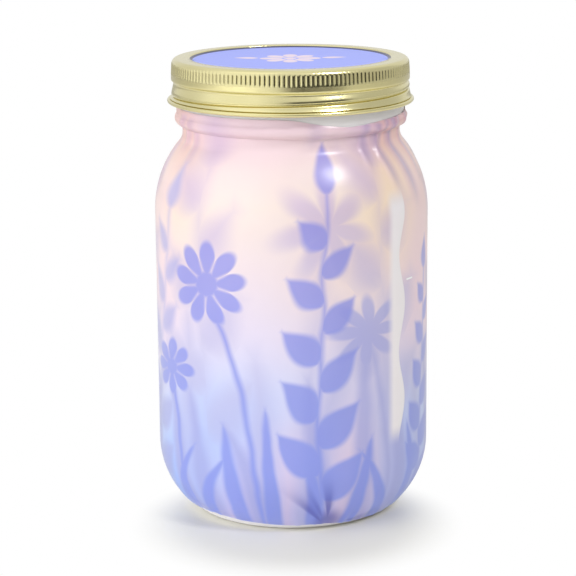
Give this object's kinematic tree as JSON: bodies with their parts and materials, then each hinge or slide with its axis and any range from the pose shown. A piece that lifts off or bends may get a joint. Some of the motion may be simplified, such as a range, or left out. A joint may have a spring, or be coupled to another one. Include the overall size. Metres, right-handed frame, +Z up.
{
  "type": "hydroponic jar planter",
  "caption": "Closed wide-mouth glass jar in a printed film sleeve, with a flat lid and screw band over a slotted net pot, felt wick and growing kit.",
  "frame": {"origin": "centre of the standing ring, on the surface that the jar stands on", "axes": "+Z up along the jar's axis, -Y towards the front of the print, +X to the front's right"},
  "size_m": [0.0994, 0.0994, 0.166],
  "materials": {
    "clear_glass": "clear, polished",
    "printed_film": "printed shrink film, satin gloss",
    "gold_band": "pale gold lacquer, satin",
    "white_tinplate": "white enamel",
    "seal_rubber": "moulded seal",
    "label_paper": "printed card, matt",
    "stainless_steel": "bright rolled sheet",
    "wick_felt": "needled felt",
    "coir": "pressed coconut fibre",
    "carbon_sachet": "heat-sealed tea-bag paper",
    "food_sachet": "heat-sealed foil, matt",
    "packet_paper": "uncoated paper",
    "leaflet_paper": "folded paper"
  },
  "bodies": {
    "jar": {"glass_jar": "clear_glass", "film_sleeve": "printed_film"},
    "pot": {"net_pot": "stainless_steel", "wick": "wick_felt", "coir_disc": "coir"},
    "kit": {"carbon_sachet": "carbon_sachet", "plant_food_sachet": "food_sachet", "seed_packet": "packet_paper", "leaflet": "leaflet_paper"},
    "lid": {"lid_disc": "white_tinplate", "lid_seal": "seal_rubber", "lid_label": "label_paper"},
    "band": {"screw_band": "gold_band"}
  },
  "joints": [
    {"name": "pot_lift", "type": "slide", "parent": "jar", "child": "pot", "axis": [0, 0, 1], "range_m": [0, 0.17]},
    {"name": "kit_lift", "type": "slide", "parent": "pot", "child": "kit", "axis": [0, 0, 1], "range_m": [0, 0.045]},
    {"name": "cap_lift", "type": "slide", "parent": "kit", "child": "lid", "axis": [0, 0, 1], "range_m": [0, 0.018]},
    {"name": "band_turn", "type": "hinge", "parent": "lid", "child": "band", "pos_m": [0, 0, 0.158], "axis": [0, 0, 1], "range_deg": [0, 1260]}
  ],
  "couplings": [
    {"joint": "cap_lift", "follows": "band_turn", "m_per_rad": 0.00080851}
  ]
}
